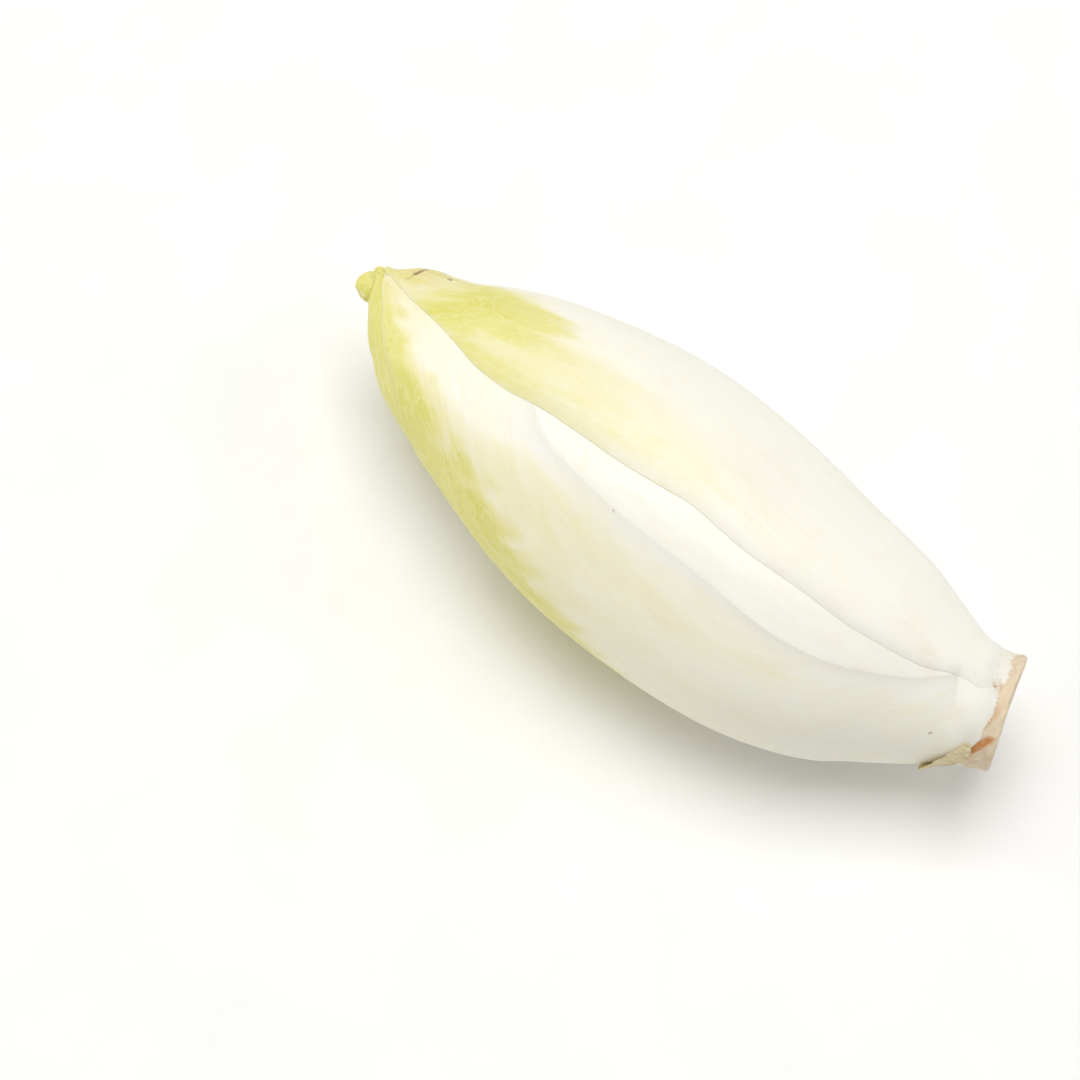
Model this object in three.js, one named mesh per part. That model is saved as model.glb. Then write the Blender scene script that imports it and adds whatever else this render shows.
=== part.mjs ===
// Belgian endive (chicon): a tight, spindle-shaped head of overlapping leaves on a short cut stem.
//
// The head is worked out in its own frame and then laid down. In that frame the tip points along -X,
// a station s is the distance from the cut towards the tip, and a roll angle is measured round the
// axis from straight up (+Z) towards +Y. Each leaf is one closed shell that lies on the leaves inside
// it, so every surface is a depth below one common outline. Lengths are in millimetres, angles in degrees.
import * as THREE from 'three';
import { mergeVertices } from 'three/addons/utils/BufferGeometryUtils.js';

// ---- driving dimensions ----

const TILT = 1.5;                      // how much the head leans on the surface, tip up
const REST = new THREE.Vector3(75.33, 6.89, 27.4);   // the end of the axis at the cut
const SINK = 0.7;                      // how far the head would sink in if it weren't flattened
const GAP = 0.4;                       // air between neighbouring leaves
const DIVERGENCE = 137.5;              // roll from one leaf to the next one inside it
const FIRST_ROLL = 46.8;               // roll of the outermost whole leaf's midrib
const LEAF_COUNT = 19;                 // with the torn base of the last leaf that was taken off

// Half of the head's lengthwise section: [station, radius].
const OUTLINE = [
  [3, 11.4], [9, 12.9], [15, 16.0], [28, 22.2], [43, 25.8], [57, 27.8], [71, 28.6], [84, 28.3],
  [96, 26.9], [107, 24.8], [118, 21.6], [129, 17.1], [139, 12.6], [145.5, 8.4], [149, 4.8],
  [151.6, 3.1], [152.8, 0.3],
];

// The axis is bent to one side, and each cross section with it: [station, shift], towards BOW_ROLL.
const BOW = [
  [0, 1.4], [10, 4.6], [24, 6.7], [50, 8.9], [92, 5.7], [130, 4.3], [146, 1.8], [153, -1.4],
];
const BOW_ROLL = -108;

const STEM = {
  cut: 1.2,                            // station of the cut
  radius: 10.9,
  shoulder: 3.4,                         // the outermost leaves start here
  neck: 9.6,                           // under their bases
  neckStation: 11,
  innerEnd: 66,                        // the growing point, deep inside the head
};

// ---- small helpers ----

const radians = THREE.MathUtils.degToRad;
const { clamp, lerp, smoothstep } = THREE.MathUtils;

const outline = new THREE.SplineCurve(OUTLINE.map(([s, r]) => new THREE.Vector2(s, r)));
const bow = new THREE.SplineCurve(BOW.map(([s, shift]) => new THREE.Vector2(s, shift)));

// The parameter of a curve at which its x reaches a value. x grows all the way along the curve.
function parameterAt(curve, x) {
  let low = 0;
  let high = 1;
  for (let step = 0; step < 30; step++) {
    const middle = (low + high) / 2;
    if (curve.getPoint(middle).x < x) low = middle;
    else high = middle;
  }
  return (low + high) / 2;
}

const bowTable = Array.from({ length: 157 }, (_, s) => bow.getPoint(parameterAt(bow, s)).y);

// How far the axis is shifted at a station, and how fast the shift grows there.
function bowAt(s) {
  const at = clamp(s, 0, bowTable.length - 2.001);
  const whole = Math.floor(at);
  const shift = lerp(bowTable[whole], bowTable[whole + 1], at - whole);
  const before = Math.max(whole - 1, 0);
  const slope = lerp(
    (bowTable[whole + 1] - bowTable[before]) / (whole + 1 - before),
    (bowTable[whole + 2] - bowTable[whole]) / 2,
    at - whole,
  );
  return { shift, slope };
}

// A smooth curve through values spread evenly over 0 to 1.
function curveThrough(values) {
  const curve = new THREE.SplineCurve(values.map((value, order) => new THREE.Vector2(order, value)));
  return (v) => curve.getPoint(clamp(v, 0, 1)).y;
}

// An angle between -180 and 180.
const turned = (degrees) => degrees - 360 * Math.round(degrees / 360);

// ---- the leaves, from the outermost inwards ----

// spans are half widths, and turns the midrib's turn round the axis, in degrees at seven places
// spread from the base to the tip. point is small for a pointed tip and large for a blunt one.
const SHAPED_LEAVES = [
  {
    name: 'torn_leaf_base', roll: -125, base: 3.2, tip: 12, rib: 0.5, edge: 0.7, point: 1.5,
    spans: [46, 50, 52, 50, 46, 42, 40], turns: [0, 0, 0, 0, 0, 0, 0],
  },
  {
    name: 'upper_outer_leaf', base: 6, tip: 144.5, rib: 3.2, edge: 0.6, point: 2,
    spans: [48, 48, 48, 53.5, 61, 65, 50], turns: [0, 0, 0, 0, 0, 3, 18],
  },
  {
    name: 'front_outer_leaf', base: 3.6, tip: 149.4, rib: 3.2, edge: 0.5, point: 2,
    spans: [60, 64, 67, 66, 66, 49, 50], turns: [0, 0, 0, 0, 12, 87, 118],
  },
  {
    name: 'back_outer_leaf', base: 5, tip: 149, rib: 3.0, edge: 0.6, point: 2,
    spans: [58, 72, 80, 86, 80, 70, 60], turns: [0, 0, 0, 0, 3, 10, 20],
  },
  {
    name: 'wedge_leaf', base: 4, tip: 145.5, rib: 3.4, edge: 0.5, point: 2,
    spans: [54, 60, 66, 70, 72, 70, 60], turns: [0, 0, 0, 0, 2, 8, 18],
  },
  {
    name: 'lower_leaf', base: 7.5, tip: 152.7, rib: 3.0, edge: 0.5, point: 40,
    spans: [56, 68, 76, 80, 84, 100, 162], turns: [0, 0, 0, 0, 2, 10, 25],
  },
];

// Further in, the leaves start higher on the stem, end lower, and wrap further round.
function innerLeaf(order) {
  const depth = (order - SHAPED_LEAVES.length) / (LEAF_COUNT - 1 - SHAPED_LEAVES.length);
  const ring = order < 12 ? 'middle_leaf_' : 'inner_leaf_';
  const outermost = [56, 68, 76, 80, 82, 78, 66];
  const innermost = [92, 100, 108, 114, 113, 104, 84];
  return {
    name: ring + (order < 12 ? order - 5 : order - 11),
    base: lerp(10, 50, depth),
    tip: 145 - 50 * depth ** 1.5,
    rib: lerp(3.0, 2.2, depth),
    edge: 0.5,
    point: 2,
    spans: outermost.map((span, at) => lerp(span, innermost[at], depth)),
    turns: [0, 0, 0, 0, 3, 10, 20],
  };
}

const LEAVES = Array.from({ length: LEAF_COUNT }, (_, order) => {
  const leaf = SHAPED_LEAVES[order] ?? innerLeaf(order);
  return {
    ...leaf,
    roll: leaf.roll ?? FIRST_ROLL - DIVERGENCE * (order - 1),
    spanAt: curveThrough(leaf.spans),
    turnAt: curveThrough(leaf.turns),
    from: parameterAt(outline, leaf.base),
    to: parameterAt(outline, leaf.tip),
  };
});

// Half of the leaf's width in degrees.
function halfWidth(leaf, v) {
  const closing = clamp((v - 0.86) / 0.14, 0, 1);
  return leaf.spanAt(v) * Math.sqrt(1 - 0.97 * closing ** leaf.point);
}

const midribRoll = (leaf, v) => leaf.roll + leaf.turnAt(v);

// Thickest on the midrib a little above the base, thin along the margins and at the tip.
function thickness(leaf, u, v) {
  const along = lerp(0.1, 1, smoothstep(v, 0, 0.18)) * lerp(1, 0.16, smoothstep(v, 0.3, 1));
  return leaf.edge + leaf.rib * along * Math.max(0, 1 - u * u) ** 1.4;
}

// ---- how the leaves lie on each other ----

const BRIDGE = { side: 10, tip: 14, base: 4, slack: 1.2 };   // how far a leaf spans beyond one below it

// How much of a leaf's thickness is felt by the leaves above it: all of it over the leaf, none far from it.
function cover(leaf, v, beyondSide, lengthAlong) {
  const beyondTip = (v - 1) * lengthAlong;
  const belowBase = -v * lengthAlong;
  return (1 - smoothstep(beyondSide, BRIDGE.slack, BRIDGE.slack + BRIDGE.side))
    * (1 - smoothstep(beyondTip, BRIDGE.slack, BRIDGE.slack + BRIDGE.tip))
    * (1 - smoothstep(belowBase, 0, BRIDGE.base + 0.15 * leaf.base));
}

// The height of the pile of leaves from `first` inwards, at one place of the outline.
function pile(first, q, roll, radius) {
  let height = 0;
  for (let order = first; order < LEAF_COUNT; order++) {
    const leaf = LEAVES[order];
    const v = (q - leaf.from) / (leaf.to - leaf.from);
    const half = halfWidth(leaf, v);
    const off = turned(roll - midribRoll(leaf, v));
    const beyondSide = radians(Math.abs(off) - half) * radius;
    const u = clamp(off / half, -1, 1);
    const share = cover(leaf, v, beyondSide, leaf.tip - leaf.base);
    if (share > 0) height += share * (thickness(leaf, u, clamp(v, 0, 1)) + GAP);
  }
  return height;
}

// A leaf is stiff, so it rests on the highest places near each point of its inside.
function support(order, q, roll, radius) {
  const near = [[0, 0], [-0.025, 0], [0.025, 0], [0, -5], [0, 5]];
  return GAP + Math.max(...near.map(([dq, turn]) => pile(order + 1, q + dq, roll + turn, radius)));
}

const SMOOTHING = [-48, -36, -24, -12, 0, 12, 24, 36, 48];   // rolls over which the pile is evened out

function evenPile(q, roll, radius) {
  let sum = 0;
  let weights = 0;
  for (const step of SMOOTHING) {
    const weight = Math.cos(radians(step * 1.6)) ** 2;
    sum += weight * pile(0, q, roll + step, radius);
    weights += weight;
  }
  return sum / weights;
}

// The stem, and above its growing point the narrow middle that the last leaves close on.
function middleRadius(s, outer) {
  const shoulder = lerp(STEM.radius, STEM.neck, smoothstep(s, STEM.shoulder, STEM.neckStation));
  const stem = shoulder - (STEM.neck - 1.8) * smoothstep(s, STEM.neckStation, 76);
  return s < 76 ? stem : Math.min(stem, 0.45 * outer);
}

// Everything that depends only on the place along the outline.
function section(q) {
  const point = outline.getPoint(q);
  const tangent = outline.getTangent(q);
  const out = { s: -tangent.y, r: tangent.x };
  const room = (point.y - middleRadius(point.x, point.y)) / Math.max(out.r, 0.35);
  return { s: point.x, r: point.y, out, room };
}

// The depth below the outline of a surface that has `below` millimetres of leaves under it.
// Deep leaves lie more loosely, so that they fill the room down to the middle.
function depthOf(below, even, room) {
  const under = even - below;
  return under * Math.min(1, room / even) + Math.max(0, room - even) * (under / even) ** 2;
}

// ---- from station, radius and roll to a point of the resting head ----

const TILT_RAD = radians(TILT);

// The head is a little flattened where it lies. No surface there reaches further than the outline does.
function flattened(s, r, roll, outer) {
  const down = -Math.cos(radians(roll));
  if (down < 0.3) return r;
  const shift = bowAt(s).shift * Math.cos(radians(BOW_ROLL));
  const height = REST.z / Math.cos(TILT_RAD) + s * Math.tan(TILT_RAD) + shift;
  return r * Math.min(1, (SINK + height / down) / outer);
}

function place(s, r, roll) {
  const { shift, slope } = bowAt(s);
  const towards = radians(BOW_ROLL);
  return new THREE.Vector3(
    -s + slope * r * Math.cos(radians(roll) - towards),
    r * Math.sin(radians(roll)) + shift * Math.sin(towards),
    r * Math.cos(radians(roll)) + shift * Math.cos(towards),
  );
}

// No point lies below the surface: the leaf underneath gets a flat there.
function onTheSurface(point) {
  const least = (point.x * Math.sin(TILT_RAD) - REST.z) / Math.cos(TILT_RAD);
  point.z = Math.max(point.z, least);
  return point;
}

// The outline's radius at a station, for the flattening.
const outlineTable = Array.from(
  { length: 154 },
  (_, s) => outline.getPoint(parameterAt(outline, Math.max(s, OUTLINE[0][0]))).y,
);

function outerAt(s) {
  const at = clamp(s, 0, 152.99);
  const whole = Math.floor(at);
  return lerp(outlineTable[whole], outlineTable[whole + 1], at - whole);
}

// ---- solids ----

// A closed shell from two matching grids of points: the outside, and the inside below it.
function shellGeometry(outside, inside, columns, rows) {
  const positions = [];
  for (const point of [...outside, ...inside]) positions.push(point.x, point.y, point.z);
  const across = columns + 1;
  const lower = outside.length;
  const index = [];
  const quad = (a, b, c, d) => index.push(a, c, b, a, d, c);
  for (let row = 0; row < rows; row++) {
    for (let column = 0; column < columns; column++) {
      const at = row * across + column;
      quad(at, at + across, at + across + 1, at + 1);
      quad(lower + at, lower + at + 1, lower + at + across + 1, lower + at + across);
    }
    const left = row * across;
    const right = left + columns;
    quad(left, lower + left, lower + left + across, left + across);
    quad(right, right + across, lower + right + across, lower + right);
  }
  const top = rows * across;
  for (let column = 0; column < columns; column++) {
    quad(column, column + 1, lower + column + 1, lower + column);
    quad(top + column, lower + top + column, lower + top + column + 1, top + column + 1);
  }
  const geometry = new THREE.BufferGeometry();
  geometry.setAttribute('position', new THREE.Float32BufferAttribute(positions, 3));
  geometry.setIndex(index);
  return geometry;
}

function leafGeometry(order) {
  const leaf = LEAVES[order];
  const columns = order < SHAPED_LEAVES.length ? 14 : 10;
  const rows = order < SHAPED_LEAVES.length ? 15 : 10;
  const outside = [];
  const inside = [];
  for (let row = 0; row <= rows; row++) {
    for (let column = 0; column <= columns; column++) {
      const u = 2 * column / columns - 1;
      const v = lerp(0.01 * u * u, 1 - 0.03 * u * u, row / rows);   // both ends are rounded
      const q = lerp(leaf.from, leaf.to, v);
      const roll = midribRoll(leaf, v) + u * halfWidth(leaf, v);
      const here = section(q);
      const even = evenPile(q, roll, here.r);
      const thick = thickness(leaf, u, v) * Math.min(1, here.room / even);
      const outer = depthOf(pile(order + 1, q, roll, here.r) + GAP, even, here.room) - thick;
      const inner = Math.max(depthOf(support(order, q, roll, here.r), even, here.room), outer + 0.6 * thick);
      for (const [grid, depth] of [[inside, inner], [outside, outer]]) {
        const s = here.s - depth * here.out.s;
        const r = Math.max(here.r - depth * here.out.r, 0.2);
        grid.push(onTheSurface(place(s, flattened(s, r, roll, outerAt(s)), roll)));
      }
    }
  }
  return shellGeometry(outside, inside, columns, rows);
}

// The stem: the cut stub that shows, and the cone inside the head that carries the leaves.
function stemGeometry() {
  const profile = [
    new THREE.Vector2(0, STEM.cut),
    new THREE.Vector2(STEM.radius - 0.7, STEM.cut),
    new THREE.Vector2(STEM.radius, STEM.cut + 0.7),
  ];
  for (const s of [3.2, 5.5, 8, 11, 15, 20, 26, 34, 43, 52, 60]) {
    const clearance = 1.1 * GAP * smoothstep(s, 2, 4);
    profile.push(new THREE.Vector2(middleRadius(s, 40) - clearance, s));
  }
  profile.push(new THREE.Vector2(0, STEM.innerEnd));
  const lathe = new THREE.LatheGeometry(profile, 28);
  lathe.deleteAttribute('normal');
  lathe.deleteAttribute('uv');
  const geometry = mergeVertices(lathe, 1e-4);
  const points = geometry.getAttribute('position');
  for (let at = 0; at < points.count; at++) {
    const r = Math.hypot(points.getX(at), points.getZ(at));
    const roll = THREE.MathUtils.radToDeg(Math.atan2(points.getX(at), points.getZ(at)));
    const point = place(points.getY(at), r, roll);
    points.setXYZ(at, point.x, point.y, point.z);
  }
  return geometry;
}

// ---- the head ----

const COLOURS = { outer: '#f1ecd6', inner: '#efe9b6', torn: '#cdb68c', stem: '#dfd0b0' };

function solid(name, geometry, colour, roughness) {
  const material = new THREE.MeshStandardMaterial({ color: colour, roughness, metalness: 0 });
  const mesh = new THREE.Mesh(geometry, material);
  mesh.name = name;
  return mesh;
}

const head = new THREE.Group();
head.name = 'endive';
LEAVES.forEach((leaf, order) => {
  const colour = order < SHAPED_LEAVES.length ? COLOURS.outer : COLOURS.inner;
  head.add(solid(leaf.name, leafGeometry(order), order === 0 ? COLOURS.torn : colour, 0.45));
});
head.add(solid('stem', stemGeometry(), COLOURS.stem, 0.6));
head.rotation.y = TILT_RAD;
head.position.copy(REST);

export default head;
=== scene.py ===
import math

import bmesh
import bpy
import numpy as np
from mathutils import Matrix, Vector


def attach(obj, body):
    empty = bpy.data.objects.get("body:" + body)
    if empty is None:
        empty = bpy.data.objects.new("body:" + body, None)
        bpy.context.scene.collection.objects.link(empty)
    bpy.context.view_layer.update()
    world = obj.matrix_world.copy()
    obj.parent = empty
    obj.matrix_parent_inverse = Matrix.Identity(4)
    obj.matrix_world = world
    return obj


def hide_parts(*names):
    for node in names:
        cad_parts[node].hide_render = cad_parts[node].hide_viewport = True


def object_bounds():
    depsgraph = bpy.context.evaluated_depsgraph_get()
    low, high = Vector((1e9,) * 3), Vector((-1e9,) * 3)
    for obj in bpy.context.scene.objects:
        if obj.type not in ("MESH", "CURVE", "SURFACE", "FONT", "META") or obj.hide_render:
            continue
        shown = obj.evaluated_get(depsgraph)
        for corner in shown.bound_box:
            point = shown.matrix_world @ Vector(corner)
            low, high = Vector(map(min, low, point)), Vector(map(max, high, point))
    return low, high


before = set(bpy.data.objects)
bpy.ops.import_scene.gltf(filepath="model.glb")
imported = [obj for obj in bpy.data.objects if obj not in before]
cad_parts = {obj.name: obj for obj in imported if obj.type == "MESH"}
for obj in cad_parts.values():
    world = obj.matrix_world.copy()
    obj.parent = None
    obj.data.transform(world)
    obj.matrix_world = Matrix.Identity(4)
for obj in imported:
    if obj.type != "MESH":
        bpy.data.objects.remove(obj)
cadLow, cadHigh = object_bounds()
print("frame loaded:", len(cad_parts), "nodes")

mm = 0.001

# the form that all the leaves share
head = {
    "tilt": 1.5,            # the head leans on the surface, tip up
    "sink": 0.7,            # how far it would sink in if it weren't flattened
    "gap": 0.05,            # air between neighbouring leaves
    "divergence": 137.5,    # roll from one leaf to the next one inside it
    "firstRoll": 46.8,      # roll of the outermost whole leaf's midrib
    # the end of the axis at the cut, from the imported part's box
    "axisEnd": (cadHigh.x / mm - 2.342, (cadLow.y + cadHigh.y) / 2 / mm + 6.882, cadLow.z / mm + 27.4),
    # half of the lengthwise section: station from the cut towards the tip, radius
    "outline": [(3, 11.2), (9, 12.6), (15, 15.8), (28, 22.1), (43, 26.3), (57, 28.2), (71, 29.0),
                (84, 28.8), (96, 27.2), (107, 24.5), (118, 21.1), (129, 16.6), (138, 11.5),
                (143.5, 7.8), (147.5, 4.4), (150.3, 2.6), (151.6, 0.3)],
    # how far the axis is bent to one side: station, shift
    "bow": [(0, 1.4), (10, 4.2), (24, 6.4), (50, 8.6), (92, 5.5), (110, 4.3), (128, 3.5), (137, 2.0),
            (143, 0.6), (148, -0.4), (153, -1.6)],
    "bowRoll": -108,
    "bridgeSide": 10,       # how far a leaf spans beyond the side, tip and base of one below it
    "bridgeTip": 14,
    "bridgeBase": 4,
    "bridgeSlack": 1.2,
    "depth": 0.35,          # of the outermost surface under the outline
}

# the cut stub and the cone inside the head, which the leaves are laid on
stem = {
    "name": "cutStem", "node": "stem", "slot": "stem",
    "cut": 1.2,             # station of the cut
    "radius": 10.9,
    "under": 0.5,           # how far it lies under the outline at the leaf bases
    "shoulder": 5.5,        # where it starts to narrow
    "neck": 9.6,            # under their bases
    "neckStation": 13,
    "innerEnd": 66,         # the growing point, deep inside the head
    "middle": 1.8,          # the narrow middle that the innermost leaves close on, from middleStation
    "middleStation": 76,
    "middleShare": 0.45,    # of the head's radius, at most
    "gap": 0.4,
    "steps": 160,
}


def smoothStep(x, low, high):
    t = np.clip((x - low) / (high - low), 0, 1)
    return t * t * (3 - 2 * t)


def mix(a, b, t):
    return a + (b - a) * t


def turned(angle):
    return angle - 360 * np.round(angle / 360)


def splineAt(points, t):
    # a smooth curve through the points, evenly spread over t from 0 to 1
    points = np.asarray(points, float)
    last = len(points) - 1
    at = np.clip(t, 0, 1) * last
    whole = np.minimum(np.floor(at).astype(int), last - 1)
    w = (at - whole)[..., None]
    p0, p1 = points[np.maximum(whole - 1, 0)], points[whole]
    p2, p3 = points[whole + 1], points[np.minimum(whole + 2, last)]
    leave, arrive = (p2 - p0) / 2, (p3 - p1) / 2
    return ((2 * (p1 - p2) + leave + arrive) * w ** 3
            + (3 * (p2 - p1) - 2 * leave - arrive) * w ** 2 + leave * w + p1)


def splineTable(values, count=600):
    t = np.linspace(0, 1, count)
    return t, splineAt(list(enumerate(values)), t)[:, 1]


curveSteps = np.linspace(0, 1, 6001)
outlineCurve = splineAt(head["outline"], curveSteps)
bowCurve = splineAt(head["bow"], curveSteps)
bowStations = np.arange(157.0)
bowShifts = np.interp(bowStations, bowCurve[:, 0], bowCurve[:, 1])
bowSlopes = np.gradient(bowShifts)


def outlineParameter(station):
    return float(np.interp(station, outlineCurve[:, 0], curveSteps))


def outlineRadius(station):
    return np.interp(station, outlineCurve[:, 0], outlineCurve[:, 1])


def middleRadius(s, outer):
    # the stem, and above its growing point the narrow middle that the last leaves close on
    stub = outlineRadius(np.clip(s, 3, 14)) - stem["under"]
    shoulder = mix(stub, stem["neck"], smoothStep(s, stem["shoulder"], stem["neckStation"]))
    end = stem["middleStation"]
    core = shoulder - (stem["neck"] - stem["middle"]) * smoothStep(s, stem["neckStation"], end)
    return np.where(s < end, core, np.minimum(core, stem["middleShare"] * outer))


def flattened(s, r, roll, outer):
    # the head is a little flattened where it lies
    down = -np.cos(np.radians(roll))
    tilt = math.radians(head["tilt"])
    shift = np.interp(s, bowStations, bowShifts) * math.cos(math.radians(head["bowRoll"]))
    height = head["axisEnd"][2] / math.cos(tilt) + s * math.tan(tilt) + shift
    squeezed = r * np.minimum(1, (head["sink"] + height / np.maximum(down, 0.3)) / outer)
    return np.where(down < 0.3, r, squeezed)


def placed(s, r, roll):
    # from station, radius and roll to a point of the resting head, in metres
    shift = np.interp(s, bowStations, bowShifts)
    slope = np.interp(s, bowStations, bowSlopes)
    towards = math.radians(head["bowRoll"])
    roll = np.radians(roll)
    x = -s + slope * r * np.cos(roll - towards)
    y = r * np.sin(roll) + shift * math.sin(towards)
    z = r * np.cos(roll) + shift * math.cos(towards)
    tilt = math.radians(head["tilt"])
    endX, endY, endZ = head["axisEnd"]
    world = np.stack([
        x * math.cos(tilt) + z * math.sin(tilt) + endX,
        y + endY,
        np.maximum(z * math.cos(tilt) - x * math.sin(tilt) + endZ, 0),
    ], axis=-1)
    return world * mm


def noiseField(x, y, seed):
    # smooth random values between -1 and 1 over a plane, one hump to a unit
    repeat = 97
    values = np.random.default_rng(seed).uniform(-1, 1, (repeat, repeat))
    column, row = np.floor(x).astype(int), np.floor(y).astype(int)
    fx, fy = x - column, y - row
    fx, fy = [f ** 3 * (f * (6 * f - 15) + 10) for f in (fx, fy)]

    def corner(dx, dy):
        return values[(column + dx) % repeat, (row + dy) % repeat]

    return mix(mix(corner(0, 0), corner(1, 0), fx), mix(corner(0, 1), corner(1, 1), fx), fy)


def layeredNoise(x, y, seed, layers=3):
    total, share = 0, 1
    for layer in range(layers):
        total = total + share * noiseField(x * 2 ** layer + 7.3 * layer, y * 2 ** layer, seed + layer)
        share *= 0.5
    return total / 1.6


# The leaves, from the outermost inwards. Spans are half widths, and turns how far the midrib turns round
# the axis, at seven places from base to tip; sides gives the rolls of the two margins at each station
# instead. The colour grows between the greenStations, outside the whiteSpan round the midrib. Tints give
# its strength at each station instead: up to the tintRolls, or below the whiteRolls, and darkTints below
# the darkRolls.

tornLeafBase = {
    "name": "tornLeafBase", "node": "torn_leaf_base", "slot": "torn_leaf", "finish": "torn",
    "rolls": (-166, -56), "rib": 0.35, "edge": 0.3, "lift": 0.45, "ragged": 0.35, "wrinkles": 0.22,
    "curl": 0.9, "curlRolls": (-150, -112, -94, -74),
    # where it is scarred, from its lower edge: roll, height, and the sizes of both
    "scarAt": (-101, 0.3), "scarSize": (5, 0.8),
    # the torn strip's two long edges: roll, station
    "lowEdge": [(-166, 13), (-130, 9.6), (-100, 7.8), (-85, 6.0), (-70, 4.9), (-62, 5.2), (-56, 6.0)],
    "highEdge": [(-166, 13.6), (-130, 12.4), (-100, 11.6), (-85, 9.6), (-70, 7.6), (-62, 6.8), (-56, 6.2)],
    "columns": 150, "rows": 30,
}
upperOuterLeaf = {
    "name": "upperOuterLeaf", "node": "upper_outer_leaf", "slot": "outer_leaf", "finish": "outer",
    "base": 4.2, "tip": 149.4, "rib": 3.2, "edge": 0.07, "ragged": 0.06, "point": 2,
    "sides": [(2, 1, 90), (4.5, -1, 92), (7, -6, 94), (9.5, -4, 95), (12, -5, 95), (18, -12, 96),
              (30, -13, 96), (43, -10, 97), (57, -10, 98), (68, -9, 100), (75, -11, 101), (83, -13, 103),
              (92, -14, 105), (102, -15, 108), (107, -17, 110), (112.5, -18, 112), (118, -17, 114),
              (123.8, -13, 115), (129.5, -9, 114), (132, -8, 112), (135, -7, 110), (138, -6, 108),
              (140, -5, 107), (142, -3, 106), (144.5, 1, 105), (146.2, 7, 103), (147.6, 14, 100),
              (148.8, 24, 96), (150, 34, 92)],
    "baseEdge": [(-20, 3.8), (-1, 3.9), (3, 4.3), (20, 4.6), (41, 5.1), (60, 5.6), (92, 6.2)],
    "columns": 120, "rows": 190, "green": 1,
    "tints": [(30, 0), (60, 0.08), (70, 0.19), (80, 0.2), (90, 0.28), (100, 0.35), (104, 0.38), (108, 0.44),
              (112, 0.5), (116, 0.6), (120, 0.71), (127, 0.86), (133, 0.94), (136, 0.86), (142, 0.56),
              (145, 0.6), (149, 0.66)],
    "tintRolls": [(60, 12), (85, 14), (100, 16), (108, 19), (112, 28), (116, 35), (124, 43), (130, 49),
                  (136, 60), (141, 85), (145, 130)],
}
frontOuterLeaf = {
    "name": "frontOuterLeaf", "node": "front_outer_leaf", "slot": "outer_leaf", "finish": "outer",
    "base": 2.4, "tip": 147.6, "rib": 3.2, "edge": 0.07, "ragged": 0.2, "point": 2,
    "sides": [(2, -128, 10), (4, -130, 10), (7, -134, 7), (10, -138, 1), (14, -144, -12), (20, -150, -23),
              (30, -156, -30), (42, -158, -31), (59, -158, -27), (78, -152, -27), (93, -144, -25),
              (100, -138, -21), (107, -130, -10), (112, -124, 0), (118, -110, 9), (121.5, -99, 12),
              (124.8, -88, 13), (127.2, -75, 14), (129.5, -65, 15), (132.2, -59, 16), (136.2, -55, 17),
              (139.5, -47, 19), (142.2, -37, 21), (144.3, -30, 21), (146, -21, 18), (147, -9, 15),
              (147.8, 8, 12.5)],
    "baseEdge": [(-130, 9), (-80, 7.5), (-66, 6.0), (-60, 5.0), (-52, 4.1), (-38, 3.7), (-27, 2.8),
                 (-20, 2.3), (-8, 3.0), (0, 3.4)],
    "columns": 130, "rows": 190, "green": 1,
    "tints": [(30, 0.05), (50, 0.13), (60, 0.17), (75, 0.2), (95, 0.25), (115, 0.3), (133, 0.5), (148, 0.5)],
    "whiteRolls": [(85, -20), (100, -22), (108, -30), (116, -30), (124, -24), (130, -22), (139, -17),
                   (142, -10), (145, -2), (148, 8)],
    "whiteTints": [(96, 0), (108, 0.07), (124, 0.09), (130, 0.12), (136, 0.22), (139, 0.27), (142, 0.36),
                   (148, 0.42)],
    "darkTints": [(45, 0.15), (60, 0.48), (75, 0.66), (90, 0.76), (100, 0.84), (120, 0.92), (127, 0.95),
                  (136, 0.95), (142, 0.7), (148, 0.6)],
    "darkRolls": [(40, -150), (60, -103), (75, -81), (85, -73), (95, -64), (104, -60), (108, -59),
                  (116, -54), (120, -47), (127, -41), (133, -32), (136, -27), (139, -26), (142, -23),
                  (145, -12), (148, -2)],
}
backOuterLeaf = {
    "name": "backOuterLeaf", "node": "back_outer_leaf", "slot": "outer_leaf", "finish": "outer",
    "base": 6.4, "tip": 147.4, "rib": 3.0, "edge": 0.14, "point": 2,
    "spans": [58, 72, 80, 86, 80, 70, 60], "turns": [0, 0, 0, 0, 3, 10, 20],
    "columns": 120, "rows": 168, "green": 1, "greenStations": (80, 134), "whiteSpan": (10, 46),
}
wedgeLeaf = {
    "name": "wedgeLeaf", "node": "wedge_leaf", "slot": "outer_leaf", "finish": "outer",
    "base": 6.2, "tip": 149, "rib": 3.4, "edge": 0.14, "point": 2,
    "sides": [(2, -58, 50), (15, -64, 56), (30, -68, 60), (57, -74, 64), (84, -74, 68), (107, -66, 74),
              (123, -46, 88), (133, -22, 104), (139, -6, 118), (144, 4, 128), (147, 8, 124),
              (149.5, 14, 110)],
    "columns": 104, "rows": 168, "green": 1, "greenStations": (100, 140), "whiteSpan": (20, 56),
}
lowerLeaf = {
    "name": "lowerLeaf", "node": "lower_leaf", "slot": "outer_leaf", "finish": "outer",
    "base": 7.5, "tip": 150.5, "rib": 3.0, "edge": 0.2, "point": 40,
    "spans": [56, 68, 76, 80, 84, 104, 178], "turns": [0, 0, 0, 0, 2, 10, 25],
    "columns": 120, "rows": 176, "green": 1, "greenStations": (80, 130), "whiteSpan": (10, 46),
}
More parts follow.
